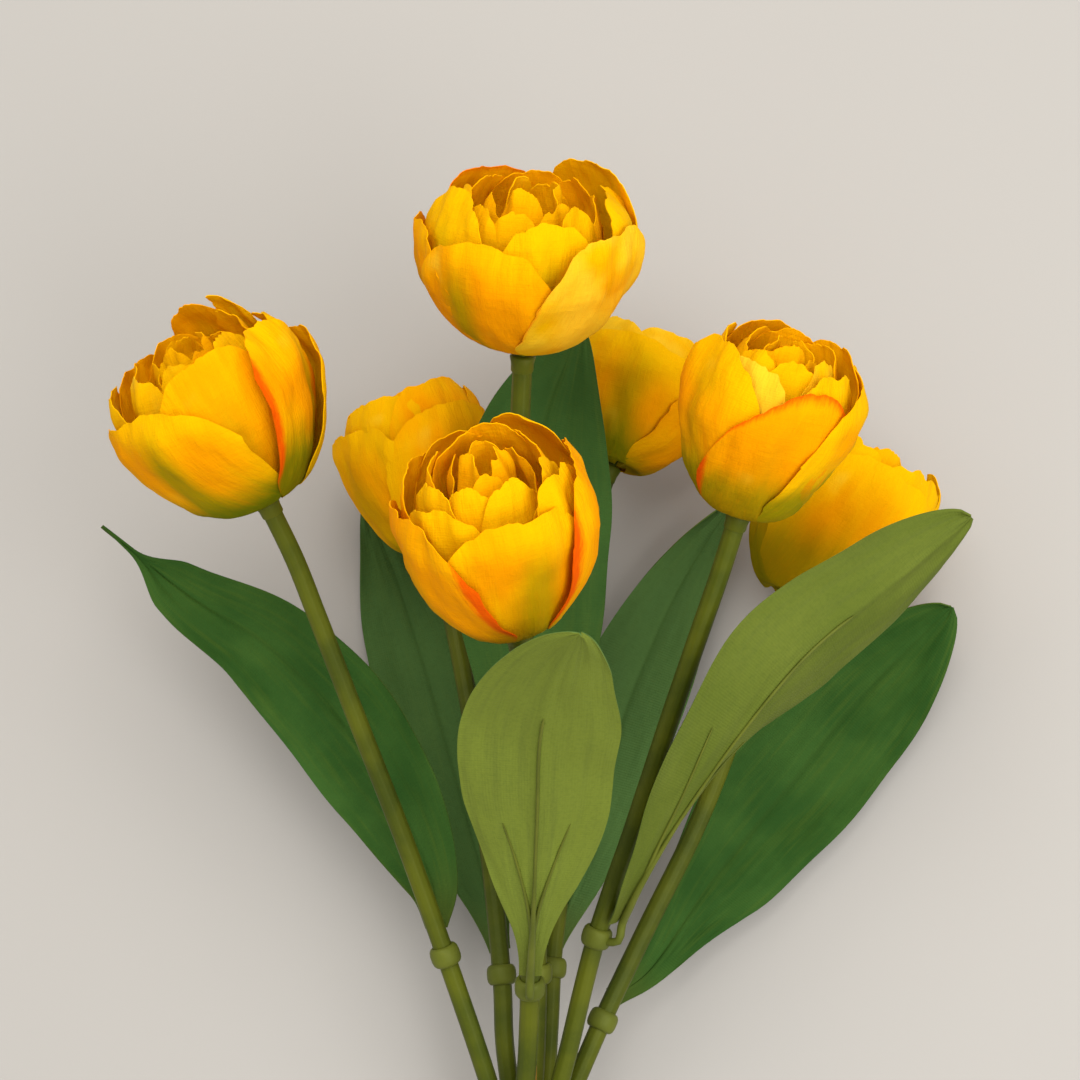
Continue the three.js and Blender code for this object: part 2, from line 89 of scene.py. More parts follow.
COLLAR_BORE = STEM_RADIUS + 0.12
RIB_RADIUS = 1.15
RIB_TIP_RADIUS = 0.42
VEIN_RADIUS = 0.6
VEIN_TIP_RADIUS = 0.22
RING_GAP = 2

# Shares of a petal's or leaf's length or half width, and powers.
CUP_ROUNDNESS = 0.92
FRAY_WAVES = 0.014
FRAY = 0.0026
LEAF_UNEVENNESS = 0.09
LEAF_CREASE_WIDTH = 0.06
BASE_TAPER = 1.3
RIB_END = 0.72
VEIN_START = 0.12
VEIN_END = 0.42
VEIN_SPREAD = 0.5

# Degrees round the cup's wall to its rim, and how many fewer an opened head has.
RIM_TURN = 118
OPENED_TURN = 30

# Counts, of corners and stations too.
STEM_RIBS = 10
CORE_PETALS = 6
PETAL_GRID = (40, 34)
LEAF_GRID = (45, 110)
FLOW_STEPS = 30
STEM_STATIONS = 90
LEAF_STATIONS = 200
RIB_STATIONS = 70
VEIN_STATIONS = 40
STEM_SIDES = 40

# Corners this close in metres are one, and an edge bent further than this is sharp.
WELD = 1e-7
SHARP_EDGE = math.radians(55)


# ---------------------------------------------------------------- the routes

def flower(end, way, opened, wide, tall, socket, collar, sag=1.0):
    """A stem up to `end`, with a head that points along `way`. `opened`, `wide` and `tall` scale
    the head, `socket` is the stem's turn round the trunk in degrees (0 is the middle socket),
    `collar` is how high its leaf is held, and `sag` scales how far the petals' bellies hang."""
    way = np.array(way, float)
    return dict(end=np.array(end, float), way=way / np.linalg.norm(way), opened=opened, wide=wide,
                tall=tall, socket=socket, collar=collar, sag=sag)


FLOWERS = [
    flower((-69, -6, 237), (-0.42, -0.2, 0.88), 1.02, 1.04, 1.0, 185, 115),
    flower((-26, 53, 215), (-0.2, 0.22, 0.95), 0.94, 0.84, 0.97, 125, 104),
    flower((-2, -1, 275), (0.06, -0.3, 0.95), 1.06, 1.08, 0.98, 0, 108, sag=0.35),
    flower((-3, -60, 212), (-0.16, -0.36, 0.92), 0.98, 0.91, 1.02, 245, 110),
    flower((22, 61, 239), (0.36, 0.24, 0.9), 0.92, 0.86, 0.84, 65, 106),
    flower((54, -19, 235), (0.26, -0.18, 0.95), 0.92, 0.84, 0.98, 305, 121),
    flower((73, 47, 201), (0.52, 0.24, 0.81), 0.96, 0.97, 1.06, 5, 93),
]


def leaf(midline, face_base, face_tip, width, cup, widest, taper, tail=0.0, pale=0.0):
    """A leaf along `midline`, with its upper face turned from `face_base` to `face_tip`. `width`
    scales it, `cup` lifts its sides, `widest` is where along it is widest, `taper` slims its tip,
    `tail` draws the very end out thin, and `pale` lightens its colour, partly its own paler tone
    and partly painted light on leaves that lie in shade."""
    return dict(midline=np.array(midline, float), face_base=np.array(face_base, float),
                face_tip=np.array(face_tip, float), width=width, cup=cup, widest=widest,
                taper=taper, tail=tail, pale=pale)


# The last number of some leaves lightens them: partly their own paler tone, partly painted light on
# leaves that lie in shade.
LEAVES = [
    leaf([(-27, 8, 131), (-38, 17, 152), (-54, 26, 174), (-74, 31, 194), (-95, 29, 208),
          (-118, 20, 229)], (0.1, -1, 0), (0.1, -0.9, 0.45), 0.86, 0.16, 0.42, 0.95, tail=0.97),
    leaf([(-13, 33, 124), (-23, 53, 155), (-33, 71, 185), (-42, 82, 210), (-50, 85, 228)],
         (0, -1, 0.2), (-0.1, -0.95, 0.1), 0.95, 0.14, 0.5, 0.8, pale=0.6),
    leaf([(2, 10, 128), (1, 16, 160), (0, 22, 194), (1, 28, 228), (4, 32, 256), (14, 35, 284)],
         (0, -1, 0.1), (0, -1, 0), 1.15, 0.14, 0.66, 0.8, pale=0.2),
    leaf([(1, -39, 136), (2, -55, 165), (3, -72, 190), (7, -89, 208), (12, -102, 219)],
         (0, 1, 0.2), (0.1, 0.8, 0.6), 1.04, 0.14, 0.6, 0.65, pale=0.9),
    leaf([(12, 30, 124), (22, 46, 156), (34, 58, 186), (45, 65, 208), (59, 64, 231)],
         (0, -1, 0.1), (-0.1, -1, 0), 0.84, 0.14, 0.5, 0.8, pale=0.7),
    leaf([(28, -20, 138), (42, -24, 162), (58, -26, 185), (74, -24, 203), (93, -18, 217),
          (117, -8, 235)], (-0.9, 0.6, 0), (-0.2, 0.9, 0.3), 0.9, 0.42, 0.58, 0.55, pale=0.3),
    leaf([(33, 22, 102), (53, 37, 126), (75, 48, 150), (96, 53, 175), (121, 50, 202)],
         (0, -1, 0.1), (0, -1, 0.2), 1.1, 0.12, 0.6, 0.6),
]


# ---------------------------------------------------------------- small mathematics

def unit(vectors):
    return vectors / np.maximum(np.linalg.norm(vectors, axis=-1, keepdims=True), 1e-9)


def mix(low, high, share):
    return low + (high - low) * share


def smooth(low, high, value):
    share = np.clip((value - low) / (high - low), 0, 1)
    return share * share * (3 - 2 * share)


def flow(points, count):
    """A smooth curve through some points, as `count` points spaced evenly along it."""
    points = np.asarray(points, float)
    ends = [2 * points[0] - points[1], *points, 2 * points[-1] - points[-2]]
    dense = []
    for before, start, stop, after in zip(ends, ends[1:], ends[2:], ends[3:]):
        first, middle, last = (math.sqrt(np.linalg.norm(b - a))
                               for a, b in ((before, start), (start, stop), (stop, after)))
        leave = ((start - before) / first - (stop - before) / (first + middle)
                 + (stop - start) / middle)
        arrive = ((stop - start) / middle - (after - start) / (middle + last)
                  + (after - stop) / last)
        s = np.linspace(0, 1, FLOW_STEPS, endpoint=False)[:, None]
        dense.append((2 * s**3 - 3 * s**2 + 1) * start + (s**3 - 2 * s**2 + s) * leave * middle
                     + (3 * s**2 - 2 * s**3) * stop + (s**3 - s**2) * arrive * middle)
    dense = np.vstack([*dense, points[-1:]])
    walked = np.concatenate([[0], np.cumsum(np.linalg.norm(np.diff(dense, axis=0), axis=1))])
    stations = np.linspace(0, walked[-1], count)
    return np.stack([np.interp(stations, walked, dense[:, k]) for k in range(3)], axis=1)


def tangents(path):
    return unit(np.gradient(path, axis=0))


def carried_frames(path):
    """Two directions square to a path, carried along it without twist."""
    ways = tangents(path)
    sides = []
    side = np.array([1.0, 0, 0])
    for way in ways:
        side = unit(side - way * side.dot(way))
        sides.append(side)
    sides = np.array(sides)
    return sides, np.cross(ways, sides)


def wrinkle(across, along, seed):
    """Soft noise from -1 to 1 over a grid of two coordinates."""
    flat = [noise.noise(Vector((a, b, seed))) for a, b in zip(across.ravel(), along.ravel())]
    return np.array(flat).reshape(across.shape)


# ---------------------------------------------------------------- laid where the stems lie

def corners(node):
    """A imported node's corners, each once, in millimetres."""
    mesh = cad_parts[node].data
    found = np.empty(len(mesh.vertices) * 3)
    mesh.vertices.foreach_get("co", found)
    return np.unique(np.round(found.reshape(-1, 3) / MM, 3), axis=0)


def rings(node):
    """The middle of each ring of corners along a stem, foot first."""
    found = corners(node)
    found = found[np.argsort(found[:, 1])]
    breaks = np.where(np.diff(found[:, 1]) > RING_GAP)[0] + 1
    return np.array([ring.mean(axis=0) for ring in np.split(found, breaks)])


def socket_place(plan):
    """The middle of a stem's socket, at the trunk's top."""
    turn = math.radians(plan["socket"])
    reach = SOCKET_RING_RADIUS if plan["socket"] else 0
    return np.array([reach * math.cos(turn), reach * math.sin(turn), TRUNK_LENGTH])


def laid_down(stem_rings):
    """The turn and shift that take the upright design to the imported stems' ends."""
    drawn, packed = [], []
    for plan, found in zip(FLOWERS, stem_rings):
        drawn += [socket_place(plan) - (0, 0, SOCKET_DEPTH), plan["end"]]
        packed += [found[0], found[-1]]
    drawn, packed = np.array(drawn), np.array(packed)
    spread = (drawn - drawn.mean(0)).T @ (packed - packed.mean(0))
    left, _, right = np.linalg.svd(spread)
    flip = np.diag([1, 1, np.sign(np.linalg.det(left @ right))])
    turn = (left @ flip @ right).T
    return turn, packed.mean(0) - turn @ drawn.mean(0)


STEM_RINGS = [rings(f"stem_{number}") for number in range(1, 8)]
LAID_TURN, LAID_SHIFT = laid_down(STEM_RINGS)


def lay(points):
    """Upright millimetres to the frame's metres."""
    return (np.asarray(points) @ LAID_TURN.T + LAID_SHIFT) * MM


def stand(points):
    """Packed millimetres back to upright ones."""
    return (np.asarray(points) - LAID_SHIFT) @ LAID_TURN


STEM_PATHS = [flow(stand(found), STEM_STATIONS) for found in STEM_RINGS]


# ---------------------------------------------------------------- mesh work

def shown(name, data):
    """A new thing in the scene."""
    thing = bpy.data.objects.new(name, data)
    bpy.context.collection.objects.link(thing)
    return thing

class Stock:
    """Corners and faces of one piece, gathered patch by patch, with marks on each corner."""

    def __init__(self):
        self.points = []
        self.faces = []
        self.marks = {}
        self.count = 0

    def patch(self, points, **marks):
        """Adds a grid of corners and returns their numbers."""
        rows, columns = points.shape[:2]
        numbers = self.count + np.arange(rows * columns).reshape(rows, columns)
        self.points.append(points.reshape(-1, 3))
        for name, values in marks.items():
            shape = (rows, columns) + np.shape(values)[2:]
            values = np.broadcast_to(np.asarray(values, float), shape)
            self.marks.setdefault(name, []).append(values.reshape(rows * columns, -1))
        self.count += rows * columns
        return numbers

    def skin(self, numbers, flip=False):
        a, b = numbers[:-1, :-1], numbers[1:, :-1]
        c, d = numbers[1:, 1:], numbers[:-1, 1:]
        quads = np.stack([a, b, c, d] if not flip else [d, c, b, a], axis=-1)
        self.faces += quads.reshape(-1, 4).tolist()

    def fill(self, ring, flip=False):
        self.faces.append([int(n) for n in (ring if not flip else ring[::-1])])

    def sheet(self, points, thickness, **marks):
        """A thin closed sheet about a grid; `side` is 0 where u x v points and 1 behind."""
        normal = unit(np.cross(np.gradient(points, axis=0), np.gradient(points, axis=1)))
        top = self.patch(points + normal * thickness / 2, side=0, **marks)
        under = self.patch(points - normal * thickness / 2, side=1, **marks)
        self.skin(top)
        self.skin(under, flip=True)
        for edge, mate in ((top[:, 0], under[:, 0]), (top[-1], under[-1]),
                           (top[::-1, -1], under[::-1, -1]), (top[0, ::-1], under[0, ::-1])):
            self.skin(np.stack([mate, edge], axis=1))

    def rod(self, path, radius, sides, capped=True):
        """A round rod; radius is one number per step, or one per step and side."""
        side, other = carried_frames(path)
        turn = 2 * np.pi * np.arange(sides) / sides
        radius = np.asarray(radius, float)
        radius = radius[:, None] if radius.ndim == 1 else radius
        rim = (side[:, None] * np.cos(turn)[None, :, None]
               + other[:, None] * np.sin(turn)[None, :, None])
        numbers = self.patch(path[:, None] + rim * radius[..., None])
        self.skin(np.hstack([numbers, numbers[:, :1]]), flip=True)
        if capped:
            self.fill(numbers[0], flip=True)
            self.fill(numbers[-1])
        return numbers

    def lathe(self, profile, sides, place=None):
        """A solid turned about +z, from (radius, height) points; `place` is its origin and axes."""
        profile = np.asarray(profile, float)
        turn = 2 * np.pi * np.arange(sides) / sides
        points = np.stack([profile[:, :1] * np.cos(turn), profile[:, :1] * np.sin(turn),
                           np.repeat(profile[:, 1:], sides, axis=1)], axis=-1)
        if place is not None:
            points = place[0] + points @ place[1]
        numbers = self.patch(points)
        self.skin(np.hstack([numbers, numbers[:, :1]]), flip=True)

    def mesh(self, name):
        mesh = bpy.data.meshes.new(name)
        mesh.from_pydata(lay(np.vstack(self.points)).tolist(), [], self.faces)
        return mesh

    def piece(self, name, finish, slot, *nodes):
        """Makes the gathered patches one piece that rides the root and replaces CAD nodes."""
        mesh = self.mesh(name)
        for mark, values in self.marks.items():
            values = np.vstack(values)
            kind = "FLOAT" if values.shape[1] == 1 else "FLOAT_VECTOR"
            layer = mesh.attributes.new(mark, kind, "POINT")
            layer.data.foreach_set("value" if kind == "FLOAT" else "vector", values.ravel())
        bm = bmesh.new()
        bm.from_mesh(mesh)
        bmesh.ops.remove_doubles(bm, verts=bm.verts, dist=WELD)
        bmesh.ops.recalc_face_normals(bm, faces=bm.faces)
        bm.to_mesh(mesh)
        bm.free()
        mesh.shade_smooth()
        mesh.set_sharp_from_angle(angle=SHARP_EDGE)
        mesh.materials.append(finish)
        thing = shown(name, mesh)
        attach(thing, "root")
        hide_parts(*nodes)
        return thing


# ---------------------------------------------------------------- shader work

class Value:
    """A number in a shader; arithmetic on it adds Math nodes."""

    def __init__(self, bench, socket):
        self.bench = bench
        self.socket = socket

    def __add__(self, other):
        return self.bench.math("ADD", self, other)

    def __sub__(self, other):
        return self.bench.math("SUBTRACT", self, other)

    def __rsub__(self, other):
        return self.bench.math("SUBTRACT", other, self)

    def __mul__(self, other):
        return self.bench.math("MULTIPLY", self, other)

    __radd__ = __add__
    __rmul__ = __mul__

    def abs(self):
        return self.bench.math("ABSOLUTE", self)

    def sine(self):
        return self.bench.math("SINE", self)

    def clamped(self):
        return self.bench.add("ShaderNodeClamp", {}, {"Value": self})

    def smooth(self, low, high):
        """0 below low, 1 above high and a soft step between (low may be the larger)."""
        return self.bench.add("ShaderNodeMapRange", {"interpolation_type": "SMOOTHSTEP"},
                              {"Value": self, "From Min": low, "From Max": high})


class Bench:
    """One material's node tree."""

    def __init__(self, name):
        self.material = bpy.data.materials.new(name)
        self.material.use_nodes = True
        self.tree = self.material.node_tree
        self.shader = self.tree.nodes["Principled BSDF"]

    def add(self, kind, settings, values, out=0):
        node = self.tree.nodes.new(kind)
        for name, setting in settings.items():
            setattr(node, name, setting)
        for name, value in values.items():
            self.feed(node.inputs[name], value)
        return Value(self, node.outputs[out])

    def feed(self, socket, value):
        if isinstance(value, Value):
            self.tree.links.new(value.socket, socket)
        elif isinstance(value, (tuple, list)) and len(value) == 3 and socket.type == "RGBA":
            socket.default_value = (*value, 1)
        else:
            socket.default_value = value

    def math(self, operation, *values):
        return self.add("ShaderNodeMath", {"operation": operation}, dict(enumerate(values)))

    def mark(self, name, vector=False):
        """What the mesh says at each corner under this name."""
        return self.add("ShaderNodeAttribute", {"attribute_name": name}, {},
                        out="Vector" if vector else "Fac")

    def blend(self, share, low, high):
        """A colour from low to high."""
        return self.add("ShaderNodeMix", {"data_type": "RGBA"}, {0: share, 6: low, 7: high}, out=2)

    def noise(self, place, scale, detail=2.0, roughness=0.5, stretch=(1, 1, 1)):
        spot = self.add("ShaderNodeMapping", {}, {"Vector": place, "Scale": stretch})
        return self.add("ShaderNodeTexNoise", {}, {"Vector": spot, "Scale": scale, "Detail": detail,
                                                   "Roughness": roughness})

    def bump(self, height, distance, strength, under=None):
        values = {"Height": height, "Distance": distance, "Strength": strength}
        if under is not None:
            values["Normal"] = under
        return self.add("ShaderNodeBump", {}, values)

    def finish(self, colour, roughness, normal=None, **plain):
        self.feed(self.shader.inputs["Base Color"], colour)
        self.feed(self.shader.inputs["Roughness"], roughness)
        if normal is not None:
            self.feed(self.shader.inputs["Normal"], normal)
        for name, value in plain.items():
            self.feed(self.shader.inputs[name.replace("_", " ")], value)
        return self.material

    def let_light_through(self, colour, share):
        """Mixes in light of one colour from behind a thin sheet."""
        behind = self.add("ShaderNodeBsdfTranslucent", {}, {"Color": colour})
        front = Value(self, self.shader.outputs[0])
        both = self.add("ShaderNodeMixShader", {}, {0: share, 1: front, 2: behind})
        self.tree.links.new(both.socket, self.tree.nodes["Material Output"].inputs["Surface"])


# Colours are linear red, green and blue.
YELLOW = (0.85, 0.475, 0.0008)
ORANGE = (0.84, 0.32, 0.0004)
# The two inside colours are brighter than the outside ones: partly the inner faces' own colour,
# partly painted light that stands in for light inside the cup.
INSIDE_ORANGE_AND_PAINTED_LIGHT = (0.97, 0.42, 0.0004)
INSIDE_YELLOW_AND_PAINTED_LIGHT = (0.98, 0.56, 0.0006)
FOOT_GREEN = (0.15, 0.18, 0.002)
BLEACHED_YELLOW = (0.90, 0.60, 0.03)
HEM_RED = (0.80, 0.10, 0.001)
LIT_PETAL = (0.97, 0.55, 0.002)
LEAF_GREENS = ((0.018, 0.064, 0.009), (0.034, 0.092, 0.014))
STREAK_GREEN = (0.075, 0.125, 0.014)
# A lighter green and olive that a leaf is blended towards: partly its own paler tone, partly
# painted light on leaves that lie in shade.
TONE_AND_PAINTED_LIGHT_GREEN = (0.085, 0.165, 0.045)
MIDRIB_GREEN = (0.022, 0.055, 0.006)
UNDER_GREENS = ((0.065, 0.088, 0.009), (0.095, 0.118, 0.015))
TONE_AND_PAINTED_LIGHT_OLIVE = (0.165, 0.205, 0.026)
STREAK_OLIVE = (0.08, 0.10, 0.02)
BASE_OLIVE = (0.11, 0.12, 0.015)
SPECK_GREEN = (0.03, 0.06, 0.01)
LIT_LEAF = (0.10, 0.19, 0.015)


def threads(bench, cloth, pitch, ribbed=1.0):
    """Height of a plain weave: two sets of threads that cross, in cloth millimetres."""
    warp, weft = ((bench.add("ShaderNodeSeparateXYZ", {}, {0: cloth}, out=axis)
                   * (2 * math.pi / pitch)).sine() for axis in "XY")
    return warp * 0.5 * ribbed + weft * 0.5


def petal_fabric(name, yellow, orange, green):
    """Crinkled woven petal: green stripe, orange flush, red hem, bleached patches, and inner faces
    painted brighter, partly their own colour and partly painted light inside the cup.
    """
    bench = Bench(name)
    cloth = bench.mark("cloth", vector=True)
    across, along = bench.mark("across"), bench.mark("along")
    inside, hem = bench.mark("side"), bench.mark("hem")
    flushed, striped = bench.mark("flush"), bench.mark("stripe")
    cloud = bench.noise(cloth, 0.045, 1.5)
    streaks = bench.noise(cloth, 0.1, 4.0, 0.6, stretch=(3.2, 0.35, 1))
    fine = bench.noise(cloth, 0.8, 3.0, 0.6, stretch=(2.2, 0.5, 1))
    middle = (1 - across.abs()).smooth(0.05, 0.6) * (1 - along).smooth(0.0, 0.35)
    flush = (cloud + middle * 0.2 + (streaks - 0.5) * 0.4 + flushed - 0.6).smooth(0.15, 0.7)
    colour = bench.blend(flush, yellow, orange)
    # Inner faces are blended towards a brighter yellow and orange: partly their own colour, partly
    # painted light inside the cup.
    colour = bench.blend(inside * 0.7, colour, INSIDE_YELLOW_AND_PAINTED_LIGHT)
    colour = bench.blend((inside * (cloud - 0.45 + flushed)).clamped() * 0.6, colour, INSIDE_ORANGE_AND_PAINTED_LIGHT)
    stripe = (across.abs() + (cloud - 0.5) * 0.25).smooth(0.36, 0.04) * along.smooth(1.0, 0.6)
    colour = bench.blend((stripe * striped).clamped() * 0.75, colour, green)
    unevenness = (streaks - 0.5) * 0.12 + (cloud - 0.5) * 0.2
    foot = (along - bench.mark("base") + unevenness).smooth(0.36, 0.1)
    colour = bench.blend((foot * (striped * 0.3 + 0.65)).clamped(), colour, FOOT_GREEN)
    bleached = (bench.noise(cloth, 0.07, 2.0) + bench.mark("bleach") - 1.0).smooth(0.1, 0.35)
    colour = bench.blend(bleached * (0.3 + streaks * 0.6), colour, BLEACHED_YELLOW)
    colour = bench.blend((hem + (fine - 0.5) * 0.1).smooth(0.16, 0.02), colour, HEM_RED)
    colour = bench.blend(fine.smooth(0.45, 0.85) * 0.22, colour, orange)
    weave = threads(bench, cloth, 0.62)
    crinkle = bench.noise(cloth, 0.42, 4.0, 0.62, stretch=(2.6, 0.55, 1))
    creases = bench.noise(cloth, 0.3, 3.0, 0.6, stretch=(0.6, 2.2, 1))
    normal = bench.bump(crinkle + creases * 0.5, 0.001, 0.42)
    normal = bench.bump(weave, 0.00006, 0.3, under=normal)
    bench.finish(colour, 0.75 + fine * 0.15, normal, Specular_IOR_Level=0.08,
                 Specular_Tint=(1, 0.6, 0.1, 1))
    bench.let_light_through(LIT_PETAL, 0.22)
    return bench.material


def leaf_fabric(name):
    """Coated woven leaf, dark green above and light olive below."""
    bench = Bench(name)
    cloth = bench.mark("cloth", vector=True)
    across, along, under = bench.mark("across"), bench.mark("along"), bench.mark("side")
    pale = bench.mark("pale")
    cloud = bench.noise(cloth, 0.05, 3.0)
    streaks = bench.noise(cloth, 0.12, 3.0, 0.6, stretch=(4.0, 0.25, 1))
    fine = bench.noise(cloth, 1.0, 3.0, 0.6)
    top = bench.blend(cloud.smooth(0.3, 0.72), *LEAF_GREENS)
    top = bench.blend(streaks.smooth(0.45, 0.8) * 0.4, top, STREAK_GREEN)
    # The upper face is lightened per leaf: partly its own paler tone, partly painted light on
    # leaves that lie in shade.
    top = bench.blend(pale, top, TONE_AND_PAINTED_LIGHT_GREEN)
    top = bench.blend(across.abs().smooth(0.07, 0.0) * 0.35, top, MIDRIB_GREEN)
    below = bench.blend(cloud.smooth(0.3, 0.75), *UNDER_GREENS)
    # The underside is lightened per leaf: partly its own paler tone, partly painted light on leaves
    # that lie in shade.
    below = bench.blend(pale, below, TONE_AND_PAINTED_LIGHT_OLIVE)
    below = bench.blend(streaks.smooth(0.4, 0.8) * 0.35, below, STREAK_OLIVE)
    colour = bench.blend(under, top, below)
    colour = bench.blend(along.smooth(0.14, 0.0) * 0.4, colour, BASE_OLIVE)
    colour = bench.blend(fine.smooth(0.4, 0.75) * 0.15, colour, SPECK_GREEN)
    crease = bench.noise(cloth, 0.25, 3.0, 0.55, stretch=(2.4, 0.35, 1))
    normal = bench.bump(crease, 0.0005, 0.4)
    normal = bench.bump(threads(bench, cloth, 0.75, ribbed=0.5), 0.00008, 0.5, under=normal)
    bench.finish(colour, 0.6 + fine * 0.15, normal, Specular_IOR_Level=0.15,
                 Specular_Tint=(0.7, 1, 0.5, 1))
    bench.let_light_through(LIT_LEAF, 0.12)
    return bench.material


def moulded(name, light, dark):
    """Soft moulded plastic with cloudy colour and fine drawn lines."""
    bench = Bench(name)
    place = bench.add("ShaderNodeTexCoord", {}, {}, out="Object")
    cloud = bench.noise(place, 60, 3.0)
    lines = bench.noise(place, 220, 3.0, 0.6, stretch=(6, 6, 0.4))
    fine = bench.noise(place, 1400, 2.0)
    colour = bench.blend(cloud.smooth(0.3, 0.7), dark, light)
    colour = bench.blend(lines.smooth(0.5, 0.8) * 0.3, colour, light)
    normal = bench.bump(lines, 0.0002, 0.3)
    normal = bench.bump(fine, 0.00005, 0.3, under=normal)
    return bench.finish(colour, 0.45 + fine * 0.12, normal, Specular_IOR_Level=0.25,
                        Specular_Tint=(0.9, 1, 0.5, 1))


def steel(name):
    bench = Bench(name)
    place = bench.add("ShaderNodeTexCoord", {}, {}, out="Object")
    drawn = bench.noise(place, 900, 2.0, stretch=(1, 0.05, 1))
    colour = bench.blend(drawn, (0.35, 0.35, 0.35), (0.6, 0.6, 0.6))
    return bench.finish(colour, 0.3 + drawn * 0.2, Metallic=1.0)


def table(name):
    bench = Bench(name)
    place = bench.add("ShaderNodeTexCoord", {}, {}, out="Object")
    cloud = bench.noise(place, 3, 2.0)
    colour = bench.blend(cloud, (0.375, 0.358, 0.332), (0.388, 0.369, 0.345))
    return bench.finish(colour, 0.9, Specular_IOR_Level=0.1)


OUTER_FABRIC = petal_fabric("outer_petal_fabric", YELLOW, ORANGE, (0.24, 0.26, 0.0015))
MIDDLE_FABRIC = petal_fabric("middle_petal_fabric", YELLOW, ORANGE, (0.32, 0.32, 0.002))
INNER_FABRIC = petal_fabric("inner_petal_fabric", (0.86, 0.47, 0.001), (0.87, 0.38, 0.0005),
                            (0.65, 0.42, 0.002))
LEAF_FABRIC = leaf_fabric("leaf_fabric")
STEM_PLASTIC = moulded("stem_plastic", (0.078, 0.088, 0.003), (0.036, 0.049, 0.002))
CALYX_PLASTIC = moulded("calyx_plastic", (0.10, 0.105, 0.004), (0.055, 0.068, 0.003))
RIB_PLASTIC = moulded("rib_plastic", (0.105, 0.118, 0.012), (0.068, 0.082, 0.008))
TRUNK_PLASTIC = moulded("trunk_plastic", (0.12, 0.15, 0.015), (0.075, 0.10, 0.01))
STUB_PLASTIC = moulded("stub_plastic", (0.26, 0.125, 0.008), (0.17, 0.085, 0.005))
STEEL = steel("steel_wire")


# ---------------------------------------------------------------- heads

def head_axes(plan):
    """Rows: the head's front, its right side and the way it points."""
    way = plan["way"]
    front = np.array([0.0, -1.0, 0.0])
    front = unit(front - way * front.dot(way))
    return np.array([front, np.cross(way, front), way])


def cup(plan, reached, radius, height, floor):
    """Reach from the head's axis and rise above the stem, along the wall of a cup."""
    rim = math.radians(RIM_TURN - OPENED_TURN * (plan["opened"] - 1))
    angle = reached * rim
    hole = PEG_RADIUS + FIT_GAP
    reach = hole + (radius - hole) * np.sin(np.minimum(angle, math.pi))
    rise = floor + (height - floor) * ((1 - np.cos(angle)) / (1 - math.cos(rim))) ** CUP_ROUNDNESS
    return reach, rise


# Rough cloth, coarse first: how fine across and along, how deep, and the noise's shift.
DENTS = ((0.08, 3.0, 1.7, 7.1), (0.2, 7.0, 0.8, 4.1))
CRINKLES = ((0.5, 9.0, 0.4, 3.3), (1.2, 16.0, 0.2, 9.3))


def rough(kinds, side, reached, seed):
    return sum(wrinkle(side * across, reached * along, seed + shift) * depth
               for across, along, depth, shift in kinds)


def area_of(points):
    """The area of a grid of corners."""
    crossed = np.cross(np.diff(points, axis=0)[:, :-1], np.diff(points, axis=1)[:-1])
    return np.linalg.norm(crossed, axis=-1).sum()


